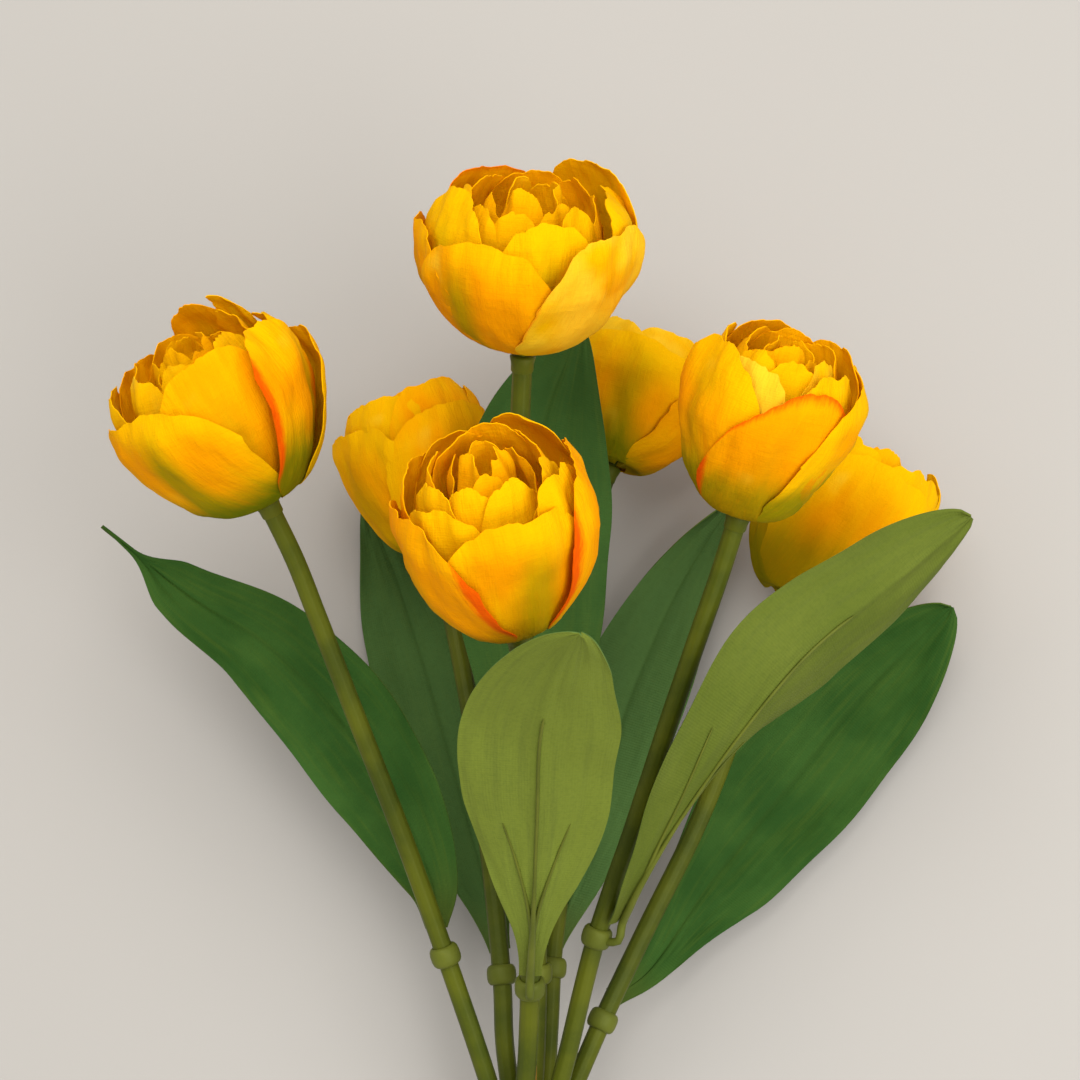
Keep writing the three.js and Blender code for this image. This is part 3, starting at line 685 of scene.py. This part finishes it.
def petal(stock, plan, layer, at, half, length, seed, lean=0.0, curl=1.0, spiral=-1.1, inset=0.0,
          ruffle=1.0, roll=0.0, scallops=2.5, notch=0.028, square=None, drop=0.32, tilt=0.0,
          stripe=0.5, stripe_at=0.0, flush=0.35, bleach=0.45, base=0.0, red=(0, 0, 0)):
    """Adds one petal and returns its area. `at` is its turn in degrees from the head's front
    towards its right, `half` its half width and `length` how far up the cup's wall it reaches.

    `lean`, `spiral`, `inset` and `roll` move its top, one edge, all of it or its rim outwards or
    inwards, `curl` bends it across and `ruffle` waves its rim. The rim has `scallops` of depth
    `notch`, falls by `drop` at the corners (a large `square` keeps it level until then) and is
    higher on one side by `tilt`. `stripe`, `flush`, `bleach` and `base` say how much green,
    orange, light yellow and low green it has, and `red` reddens its left, top and right hems."""
    u, v = np.meshgrid(*(np.linspace(low, 1, count) for low, count in zip((-1, 0), PETAL_GRID)),
                       indexing="ij")
    rng = np.random.default_rng(seed)
    phase = rng.uniform(0, 2 * math.pi, 4)

    # the outline
    swing = scallops * math.pi * (u + 1) / 2 + 0.5 * np.sin(2.2 * u + phase[0]) + phase[3] / 3
    bumps = np.abs(np.sin(swing)) ** 0.8
    frayed = wrinkle(u * 7, v * 0, seed + 0.5) * FRAY_WAVES
    frayed = frayed + rng.normal(0, FRAY, len(u))[:, None]
    fall = drop * np.abs(u) ** (square or layer["square"])
    top = 1 - fall + tilt * u + notch * (bumps - 0.6) + frayed
    along = v * mix(1, top, v**1.5)
    reached = along * length
    swell = np.sin(math.pi * np.clip(0.06 + 0.62 * along, 0, 1)) ** 0.62
    width = mix(PETAL_FOOT, half, smooth(0.0, 0.36, along)) * mix(1, swell, 0.8)
    side = u * width + 0.9 * wrinkle(u * 0, v * 7, seed + 1.7) * np.abs(u) ** 5

    # bent round the cup
    radius = (HEAD_RADIUS - layer["inset"] - inset) * plan["wide"]
    height = HEAD_HEIGHT * layer["rise"] * plan["tall"]
    reach, rise = cup(plan, reached, radius, height, layer["floor"])
    bend = np.maximum(reach * curl, TIGHTEST_BEND)
    angle = np.clip(side / bend, -2.2, 2.2)
    sideways, inward = bend * np.sin(angle), bend * (1 - np.cos(angle))
    twist = spiral * layer["spiral"] * u * smooth(0.05, 0.4, along)
    reach = reach - inward + twist + lean * along**2
    reach = reach - roll * smooth(0.78, 1.0, along) ** 2

    # waved, dented and crinkled
    waves = (np.sin(1.9 * math.pi * u + phase[1]) * 0.7
             + np.sin(3.7 * math.pi * u + phase[2] + 2 * along) * 0.35)
    edge_wave = smooth(0.35, 1.0, along) * ruffle * waves * (0.35 + 0.65 * np.abs(u))
    dents = rough(DENTS, side, reached, seed) * smooth(0.1, 0.4, along)
    crinkles = rough(CRINKLES, side, reached, seed) * smooth(0.03, 0.2, along)
    reach = reach + edge_wave + dents + crinkles
    belly = SAG * plan["sag"] * smooth(0.04, 0.17, reached) * smooth(0.62, 0.17, reached)
    rise = rise + 0.6 * edge_wave * np.abs(u) - belly
    rise = rise + HEAD_LIFT * smooth(0.0, 0.12, reached)

    # put on its head and marked for the fabric
    turn = math.radians(at)
    out = np.array([math.cos(turn), math.sin(turn), 0])
    right = np.array([-math.sin(turn), math.cos(turn), 0])
    up = np.array([0, 0, 1.0])
    local = reach[..., None] * out + sideways[..., None] * right + rise[..., None] * up
    points = plan["end"] + plan["way"] * FIT_GAP + local @ head_axes(plan)
    edges = (1 + u, 1.6 * (1 - v), 1 - u)
    hem = np.min([edge + (1 - amount) * 0.2 for edge, amount in zip(edges, red)], axis=0)
    hem = hem + 0.2 * smooth(0.5, 0.2, v)
    cloth = np.stack([side, reached * PETAL_WALL, np.full(u.shape, seed * 3.7 % 50)], axis=-1)
    stock.sheet(points, PETAL_CLOTH, across=u - stripe_at, along=v, hem=hem, cloth=cloth,
                stripe=stripe, flush=flush, bleach=bleach, base=base)
    return area_of(points)


def layer_floor(index):
    return CALYX_HEIGHT + FIT_GAP + index * DISC_STEP + DISC_GAP


def layer_plan(index, **plan):
    return dict(floor=layer_floor(index), **plan)


# Each layer's cloth, how far in from the head's radius it is, its share of the head's height, how
# much of a petal's spiral it takes and how square its rims are.
LAYERS = {
    "outer": (OUTER_FABRIC, layer_plan(0, inset=0.6, rise=1.0, spiral=1.0, square=3.6)),
    "middle": (MIDDLE_FABRIC, layer_plan(1, inset=4.0, rise=1.0, spiral=0.6, square=3.2)),
    "inner": (INNER_FABRIC, layer_plan(2, inset=8.0, rise=1.03, spiral=1.0, square=2.4)),
}


def placed(at, half, length, **how):
    return dict(at=at, half=half, length=length, **how)


def core(turn):
    """Small crumpled petals that lean together and close the middle of a head."""
    return [placed(turn + 360 * i / CORE_PETALS, 10 - i % 2, 0.98 + 0.07 * (i % 2),
                   inset=5.5 + 4 * (i % 2), curl=0.8, ruffle=1.8, scallops=2, flush=0.5, stripe=0,
                   lean=-4) for i in range(CORE_PETALS)]


# The petals of each head: outer, middle and inner layer.
HEADS = {
    1: (
        [placed(-44, 26, 0.88, stripe=1.3, stripe_at=0.12, flush=0.35, red=(1, 0, 0), roll=1,
                tilt=0.03, base=0.16),
         placed(63, 16, 1.03, stripe=0.8, stripe_at=0.4, flush=0.45, red=(1.25, 0.2, 0),
                tilt=-0.12, square=2.6, base=0.22),
         placed(112, 20, 0.84, flush=0.15, inset=-1.5, notch=0.01),
         placed(178, 24, 0.95)],
        [placed(10, 19, 1.04, flush=0.45, inset=0.3, scallops=1.5, notch=0.015, tilt=0.03),
         placed(-88, 18, 0.98, flush=0.1, bleach=0.6, scallops=3.5, ruffle=1.6),
         placed(-135, 18, 1.0, flush=0.7),
         placed(168, 11, 1.24, flush=0.7, square=2.2, inset=1.5),
         placed(140, 6, 1.23, flush=0.1, square=2.0, inset=0.5),
         placed(98, 14, 1.02, flush=0.3)],
        [placed(-55, 12, 1.0, flush=0.2, bleach=0.6, lean=-2),
         placed(-10, 11, 1.0, flush=0.3, inset=3, lean=-2),
         placed(45, 12, 1.04, flush=0.3, inset=1, lean=-2),
         placed(120, 12, 1.08, flush=0.6, inset=1, square=2, lean=-3),
         placed(-160, 15, 1.04, flush=0.7, inset=1, lean=-3),
         placed(-105, 13, 1.02, flush=0.5, inset=1, lean=-3)] + core(20),
    ),
    2: (
        [placed(-58, 25, 0.86, flush=0.4),
         placed(42, 26, 0.9, flush=0.55, stripe=0.8),
         placed(165, 26, 0.9)],
        [placed(-28, 20, 1.02, bleach=0.5, flush=0.3, scallops=2),
         placed(36, 19, 1.1, flush=0.5, notch=0.05, scallops=2),
         placed(98, 18, 1.04, flush=0.4),
         placed(-105, 19, 1.02, flush=0.3),
         placed(170, 22, 1.06, flush=0.5)],
        [placed(72 * i, 13, 1.0, flush=0.5, ruffle=1.8) for i in range(5)] + core(30),
    ),
    3: (
        [placed(-26, 22, 0.88, stripe=0.9, stripe_at=-0.3, flush=0.55, ruffle=0.9, roll=1,
                base=-0.1),
         placed(48, 21, 0.93, stripe=0.2, flush=0.35, bleach=0.75, red=(0.5, 0.1, 0.1),
                square=4.5, tilt=0.04, base=-0.1),
         placed(-84, 20, 0.86, flush=0.5, inset=-0.6, base=-0.1),
         placed(172, 27, 0.92)],
        [placed(12, 15, 1.0, stripe=0.6, flush=0.05, inset=1.0),
         placed(-60, 17, 1.09, flush=0.08, square=2.6, inset=-0.8, roll=1),
         placed(86, 17, 1.07, flush=0.35, inset=-0.6, roll=3),
         placed(132, 20, 1.14, flush=0.2, inset=-1.0, notch=0.01),
         placed(-142, 24, 1.03, flush=0.7, scallops=3.5, red=(0, 0.6, 0))],
        [placed(-48, 10, 0.98, flush=0.1, inset=1, stripe=0, lean=-2, notch=0.01),
         placed(-14, 10, 0.98, flush=0.1, inset=2, stripe=0, lean=-2, notch=0.01),
         placed(40, 11, 1.0, flush=0.2, inset=0.5, lean=-2),
         placed(85, 12, 1.0, flush=0.4, inset=1, lean=-3),
         placed(130, 14, 1.02, flush=0.7, inset=2, lean=-3),
         placed(180, 17, 1.02, flush=0.8, inset=1, scallops=3, lean=-3),
         placed(-130, 15, 1.02, flush=0.8, inset=1, lean=-3),
         placed(-90, 12, 1.0, flush=0.4, inset=1, lean=-2)] + core(40),
    ),
    4: (
        [placed(14, 23, 0.88, stripe=0.7, stripe_at=0.15, flush=0.4, roll=1.5, spiral=-0.3,
                inset=0.8),
         placed(-66, 22, 0.9, flush=0.6, red=(0, 0, 1.3), spiral=1.0),
         placed(90, 19, 1.0, flush=0.5, red=(1.4, 0, 0.3), roll=1),
         placed(180, 25, 0.95)],
        [placed(-112, 20, 0.99, flush=0.6),
         placed(143, 18, 1.17, flush=0.4, square=1.9, drop=0.45, inset=-1, notch=0.01, stripe=0,
                roll=3),
         placed(-158, 17, 1.0, flush=0.5, scallops=3),
         placed(60, 14, 0.99, flush=0.3, ruffle=1.6, inset=0.5),
         placed(-42, 17, 0.93, flush=0.05, inset=1, notch=0.01, stripe=0.4)],
        [placed(-58, 12, 0.98, flush=0.1, inset=-1, stripe=0, notch=0.01, lean=-2),
         placed(-20, 11, 0.98, flush=0.4, inset=1, stripe=0, notch=0.01, lean=-2),
         placed(22, 11, 0.98, flush=0.2, inset=1, lean=-2),
         placed(65, 12, 1.0, flush=0.4, lean=-1),
         placed(-105, 14, 1.02, flush=0.8, inset=1, lean=-3),
         placed(110, 15, 1.06, flush=0.8, inset=1, lean=-3),
         placed(165, 17, 1.1, flush=0.9, inset=2, lean=-4),
         placed(-150, 14, 1.06, flush=0.8, inset=2, lean=-4)] + core(0),
    ),
    5: (
        [placed(-18, 26, 0.92, stripe=0.8, stripe_at=0.1, flush=0.3, base=0.22),
         placed(84, 24, 0.9, flush=0.6),
         placed(-140, 26, 0.9)],
        [placed(-52, 18, 1.04, bleach=0.8, flush=0.1, scallops=2),
         placed(14, 18, 1.06, bleach=0.7, flush=0.2, scallops=2),
         placed(72, 18, 1.0, flush=0.5, ruffle=1.6),
         placed(150, 22, 1.06, flush=0.5),
         placed(-130, 20, 1.04)],
        [placed(20 + 72 * i, 13, 1.0, flush=0.4, ruffle=1.8) for i in range(5)] + core(10),
    ),
    6: (
        [placed(4, 20, 0.86, stripe=0.2, flush=0.6, red=(1.3, 0.8, 0), square=2.6, notch=0.01,
                tilt=0.26, base=0.3),
         placed(-62, 19, 1.04, flush=0.35, ruffle=1.5, scallops=3, square=2.6, base=0.2),
         placed(78, 21, 0.98, flush=0.2, bleach=0.5, ruffle=1.3, tilt=0.12, base=0.25),
         placed(172, 25, 0.95)],
        [placed(-30, 14, 0.98, flush=0.1, bleach=0.9, inset=1),
         placed(48, 15, 1.0, flush=0.15, bleach=0.6, ruffle=1.3, scallops=3, inset=1.5),
         placed(120, 18, 1.1, flush=0.6, ruffle=1.6, scallops=3.5),
         placed(-165, 19, 1.12, flush=0.7, square=2.2),
         placed(-112, 17, 1.08, flush=0.3, square=2.0, tilt=0.1)],
        [placed(8, 12, 1.0, flush=0.2, inset=0.5, notch=0.01, lean=-2),
         placed(50, 11, 1.02, flush=0.2, inset=1, bleach=0.7, lean=-2),
         placed(-40, 11, 1.0, flush=0.4, inset=1, lean=-2),
         placed(-90, 13, 1.0, flush=0.6, inset=1, lean=-3),
         placed(-135, 14, 1.06, flush=0.8, inset=1, lean=-3),
         placed(175, 15, 1.08, flush=0.8, inset=1, lean=-3),
         placed(120, 14, 1.06, flush=0.7, inset=1, lean=-3)] + core(60),
    ),
    7: (
        [placed(-78, 24, 0.92, flush=0.4, base=0.28),
         placed(6, 27, 0.92, flush=0.42, stripe=0.1, base=0.28),
         placed(128, 26, 0.92, flush=0.3)],
        [placed(-38, 20, 1.0, flush=0.3, scallops=4),
         placed(40, 22, 1.03, flush=0.1, scallops=5, notch=0.04),
         placed(100, 17, 1.14, flush=0.1, ruffle=2.2, scallops=4, notch=0.06),
         placed(170, 22, 1.02, flush=0.5),
         placed(-115, 20, 1.02, flush=0.5)],
        [placed(72 * i, 13, 1.02, flush=0.4, ruffle=2, lean=-2) for i in range(5)] + core(50),
    ),
}

for number, plan in enumerate(FLOWERS, 1):
    for (name, (fabric, layer)), petals in zip(LAYERS.items(), HEADS[number]):
        stock = Stock()
        area = 0.0
        for index, shape in enumerate(petals):
            seed = number * 100 + len(petals) * 10 + index
            area += petal(stock, plan, layer, seed=seed, **shape)
        thing = stock.piece(f"tulip_{number}_{name}_petals", fabric, f"{name}_petal_fabric",
                            f"{name}_petals_{number}")


# ---------------------------------------------------------------- calyxes, stems, leaves

def calyx(number, plan):
    """A small green cone over the stem's end, with the peg that the petal layers thread on."""
    stock = Stock()
    seat = STEM_RADIUS + 0.1
    top = layer_floor(3)
    profile = [(0, -0.02), (seat, -0.02), (seat, -CALYX_SEAT), (seat + 0.12, -CALYX_SEAT - 0.1),
               (seat + 0.25, -CALYX_SEAT + 0.15), (seat + 0.3, 0),
               (CALYX_RADIUS, CALYX_HEIGHT - 0.6), (CALYX_RADIUS - 0.5, CALYX_HEIGHT),
               (PEG_RADIUS, CALYX_HEIGHT), (PEG_RADIUS, top),
               (PEG_RADIUS + 0.7, top + 0.3), (PEG_RADIUS + 0.5, top + 1.2), (0, top + 1.2)]
    stock.lathe(profile, 32, (plan["end"] + plan["way"] * FIT_GAP, head_axes(plan)))
    stock.piece(f"tulip_{number}_calyx", CALYX_PLASTIC, "calyx_plastic", f"calyx_{number}")


def stem(number, path):
    """A moulded stem: round with fine ribs, and a bore that is open at both ends."""
    stock = Stock()
    turn = 2 * np.pi * np.arange(STEM_SIDES) / STEM_SIDES
    ribs = STEM_RIB_HEIGHT * np.cos(STEM_RIBS * turn)
    radius = np.repeat((STEM_RADIUS - STEM_SKIN + ribs)[None], len(path), axis=0)
    outside = stock.rod(path, radius, STEM_SIDES, capped=False)
    inside = stock.rod(path, np.full(len(path), BORE_RADIUS), STEM_SIDES, capped=False)
    for end in (0, -1):
        rims = np.stack([outside[end], inside[end]], axis=1)
        stock.skin(np.vstack([rims, rims[:1]]), flip=end == 0)
    stock.piece(f"tulip_{number}_stem", STEM_PLASTIC, "stem_plastic", f"stem_{number}")


def blade(plan, shape, path):
    """Where a leaf's blade runs: a function of how far along, how far across and how high."""
    station = np.interp(plan["collar"], path[:, 2], np.arange(len(path)))
    low = int(station)
    collar = mix(path[low], path[low + 1], station - low)
    up_stem = unit(path[low + 1] - path[low])
    face_base, face_tip = unit(shape["face_base"]), unit(shape["face_tip"])
    out = -unit(face_base - up_stem * face_base.dot(up_stem))
    start = collar + up_stem * LEAF_START + out * BLADE_REACH
    line = flow([start, *shape["midline"]], LEAF_STATIONS)
    ways = tangents(line)
    stations = np.linspace(0, 1, LEAF_STATIONS)

    def along_line(values, along):
        return np.stack([np.interp(along, stations, values[:, k]) for k in range(3)], axis=-1)

    def point(along, sideways, raised=0.0):
        along, sideways = np.broadcast_arrays(np.asarray(along, float), np.asarray(sideways, float))
        way = unit(along_line(ways, along))
        face = mix(face_base, face_tip, smooth(0.3, 0.85, along)[..., None])
        face = unit(face - way * np.sum(face * way, axis=-1, keepdims=True))
        across = np.cross(way, face)
        skew = math.log(0.5) / math.log(shape["widest"])
        power = mix(BASE_TAPER, shape["taper"], smooth(0, 0.5, along))
        swell = np.clip(np.sin(math.pi * np.clip(along, 0, 1) ** skew), 0, 1) ** power
        swell = swell * (1 - shape["tail"] * smooth(0.83, 0.93, along))
        least = mix(LEAF_BASE_HALF_WIDTH, LEAF_TIP_HALF_WIDTH, along)
        half = least + (0.5 * LEAF_WIDTH * shape["width"] - least) * swell
        slope = shape["cup"] * 1.6 * np.abs(sideways) ** 0.6 * np.sign(sideways)
        lifted = shape["cup"] * np.abs(sideways) ** 1.6 * half
        normal = unit(face - across * slope[..., None])
        raised = np.broadcast_to(raised, along.shape)
        return (along_line(line, along) + across * (sideways * half)[..., None]
                + face * lifted[..., None] + normal * raised[..., None])

    length = np.linalg.norm(np.diff(line, axis=0), axis=1).sum()
    return dict(collar=collar, up=up_stem, out=out, point=point, length=length)


def leaf_relief(number, u, v):
    """How far a blade's cloth waves and buckles from its plain shape."""
    waves = wrinkle(u * 1.1, v * 3.2, number * 5.1) * LEAF_WAVE * np.abs(u) ** 1.3
    buckles = wrinkle(u * 2.6, v * 7.0, number * 2.3) * LEAF_BUCKLE * np.abs(u) ** 0.4
    return waves * smooth(0.15, 0.4, v) + buckles * smooth(0.08, 0.3, v)


def leaf_blade(number, shape, run):
    stock = Stock()
    u, v = np.meshgrid(*(np.linspace(low, 1, count) for low, count in zip((-1, 0), LEAF_GRID)),
                       indexing="ij")
    crease = -LEAF_CREASE * np.exp(-((u / LEAF_CREASE_WIDTH) ** 2))
    crease = crease * smooth(0.0, 0.1, v) * smooth(1.0, 0.85, v)
    ripples = wrinkle(u * 7, v * 16, number * 1.3) * LEAF_RIPPLE * smooth(0.04, 0.2, v)
    uneven = LEAF_UNEVENNESS * wrinkle(np.sign(u) * 1.3, v * 6, number * 3.7)
    outline = 1 + uneven * smooth(0.1, 0.25, v) * smooth(1.0, 0.9, v)
    points = run["point"](v, u * outline, crease + leaf_relief(number, u, v) + ripples)
    half = 0.5 * LEAF_WIDTH * shape["width"]
    cloth = np.stack([u * half, v * run["length"], np.full(u.shape, number * 9.3)], axis=-1)
    stock.sheet(points, LEAF_CLOTH, across=u, along=v, cloth=cloth, pale=shape["pale"])
    thing = stock.piece(f"tulip_{number}_leaf", LEAF_FABRIC, "leaf_fabric", f"leaf_{number}")
    2 * half * MM
    run["length"] * MM


def rounded_end(taper, share, least):
    """A rod's radius, scaled down to a blunt round end over the last share of its length."""
    return np.sqrt(np.clip((1 - taper) / share, 0, 1) * (1 - least) + least)


def leaf_rib(number, run):
    """One moulding: the collar round the stem, the midrib and two side veins."""
    stock = Stock()
    along = np.linspace(0, RIB_END, 16)
    slim = mix(RIB_RADIUS, RIB_TIP_RADIUS, smooth(-0.05, 0.3, along))
    depth = LEAF_CLOTH / 2 + 0.4 + 0.8 * slim
    under = run["point"](along, 0.0, leaf_relief(number, 0 * along, along) - depth)
    start = run["collar"] + run["out"] * (COLLAR_RADIUS - 0.4)
    turn_up = run["collar"] + run["out"] * (BLADE_REACH + 2) + run["up"] * 1.6
    midrib = flow([start, turn_up, *under], RIB_STATIONS)
    taper = np.linspace(0, 1, RIB_STATIONS)
    radius = mix(RIB_RADIUS, RIB_TIP_RADIUS, smooth(0.05, 0.5, taper))
    stock.rod(midrib, radius * rounded_end(taper, 0.03, 0.02), 12)
    for side in (-1, 1):
        out = np.linspace(0, 1, 8)
        depth = LEAF_CLOTH / 2 + mix(0.8, 0.15, smooth(0, 0.3, out))
        sideways, along = side * VEIN_SPREAD * out**0.8, mix(VEIN_START, VEIN_END, out)
        points = run["point"](along, sideways, leaf_relief(number, sideways, along) - depth)
        taper = np.linspace(0, 1, VEIN_STATIONS)
        radius = mix(VEIN_RADIUS, VEIN_TIP_RADIUS, taper) * rounded_end(taper, 0.05, 0.03)
        stock.rod(flow(points, VEIN_STATIONS), radius, 10)
    half, wide = COLLAR_LENGTH / 2, COLLAR_RADIUS
    across = unit(np.cross(run["up"], run["out"]))
    axes = np.array([run["out"], across, run["up"]])
    bead = [(wide - 1.1, 0), (wide - 0.6, 0.3), (wide - 0.2, 0.9), (wide, 1.9)]
    profile = [(COLLAR_BORE, -half), *((r, rise - half) for r, rise in bead),
               *((r, half - rise) for r, rise in bead[::-1]), (COLLAR_BORE, half),
               (COLLAR_BORE, -half)]
    stock.lathe(profile, 36, (run["collar"], axes))
    stock.piece(f"tulip_{number}_leaf_rib", RIB_PLASTIC, "rib_plastic", f"leaf_rib_{number}")


for number, (plan, shape, path) in enumerate(zip(FLOWERS, LEAVES, STEM_PATHS), 1):
    calyx(number, plan)
    stem(number, path)
    run = blade(plan, shape, path)
    leaf_blade(number, shape, run)
    leaf_rib(number, run)
    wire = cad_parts[f"wire_{number}"].data.materials
    wire.clear()
    wire.append(STEEL)


# ---------------------------------------------------------------- trunk and stub

def trunk():
    """The short trunk, with a socket cut for each stem."""
    stock = Stock()
    top, wide, foot = TRUNK_LENGTH, TRUNK_TOP_RADIUS, TRUNK_FOOT_RADIUS
    shoulder = top - SOCKET_DEPTH
    profile = [(0, 0), (foot - 0.5, 0), (foot, 0.5), (foot + 0.6, top * 0.3),
               (wide - 1.7, shoulder - 4), (wide - 0.2, shoulder + 2), (wide, shoulder + 3),
               (wide, top - 1.2), (wide - 0.35, top - 0.35), (wide - 1.2, top), (0, top)]
    stock.lathe(profile, 64)
    thing = stock.piece("bunch_trunk", TRUNK_PLASTIC, "trunk_plastic", "trunk")
    cutters = Stock()
    for plan in FLOWERS:
        place = socket_place(plan)
        path = np.linspace(place - (0, 0, SOCKET_DEPTH + 0.3), place + (0, 0, 2), 3)
        cutters.rod(path, np.full(3, STEM_RADIUS + SOCKET_SLACK), 32)
    cutter = shown("sockets", cutters.mesh("sockets"))
    cut = thing.modifiers.new("sockets", "BOOLEAN")
    cut.operation, cut.object, cut.solver = "DIFFERENCE", cutter, "EXACT"
    bpy.context.view_layer.update()
    finished = thing.evaluated_get(bpy.context.evaluated_depsgraph_get())
    shape = bpy.data.meshes.new_from_object(finished)
    thing.modifiers.clear()
    thing.data = shape
    bpy.data.objects.remove(cutter)


def stub():
    """A short end of a moulding runner that was left between the stems."""
    stock = Stock()
    seat = np.array([*STUB_PLACE, TRUNK_LENGTH - STUB_SEAT])
    top = STUB_SEAT + STUB_TOP
    profile = [(0, 0), (STUB_RADIUS * 0.9, 0), (STUB_RADIUS, top - 1.6),
               (STUB_RADIUS * 0.86, top - 0.7), (STUB_RADIUS * 0.5, top - 0.15), (0, top)]
    stock.lathe(profile, 24, (seat, np.eye(3)))
    stock.piece("moulding_stub", STUB_PLASTIC, "stub_plastic", "stub")


trunk()
stub()

# ---------------------------------------------------------------- table, light and camera

AIM = (2.7, 4.3, 227.3)
EYE = (2.7, -739.4, 323.9)
LENS = 92.6
SENSOR_WIDTH = 36
DAYLIGHT = (1, 0.985, 0.96)
SKY_STRENGTH = 0.84
SOFTBOX_SIZE = 0.9
TABLE_REACH = 2.5


def aimed(thing, eye, aim):
    """Puts a thing at an upright place, looking at another with the stems' tops upwards."""
    eye, aim = Vector(lay([eye])[0]), Vector(lay([aim])[0])
    up = Vector(LAID_TURN @ np.array([0, 0, 1.0]))
    back = (eye - aim).normalized()
    right = up.cross(back).normalized()
    turn = Matrix((right, back.cross(right), back)).transposed()
    thing.matrix_world = Matrix.Translation(eye) @ turn.to_4x4()


camera = shown("camera", bpy.data.cameras.new("camera"))
camera.data.lens = LENS
camera.data.sensor_width = SENSOR_WIDTH
aimed(camera, EYE, AIM)
bpy.context.scene.camera = camera


def softbox(name, eye, aim, power, colour=(1, 1, 1)):
    lamp = bpy.data.lights.new(name, "AREA")
    lamp.shape = "SQUARE"
    lamp.size = SOFTBOX_SIZE
    lamp.energy = power
    lamp.color = colour
    aimed(shown(name, lamp), eye, aim)


softbox("key", (-220, -900, 980), (0, 0, 190), 10.5, DAYLIGHT)
softbox("fill", (560, -900, 240), (0, 0, 170), 9)

world = bpy.data.worlds.new("studio")
world.use_nodes = True
sky = world.node_tree.nodes["Background"].inputs
sky["Color"].default_value = (*DAYLIGHT, 1)
sky["Strength"].default_value = SKY_STRENGTH
bpy.context.scene.world = world
bpy.context.scene.view_settings.view_transform = "Standard"

floor_mesh = bpy.data.meshes.new("table")
floor_mesh.from_pydata([(x * TABLE_REACH, y * TABLE_REACH, 0)
                        for x, y in ((-1, -1), (1, -1), (1, 1), (-1, 1))], [], [(0, 1, 2, 3)])
floor_mesh.materials.append(table("table_top"))
floor = shown("table", floor_mesh)
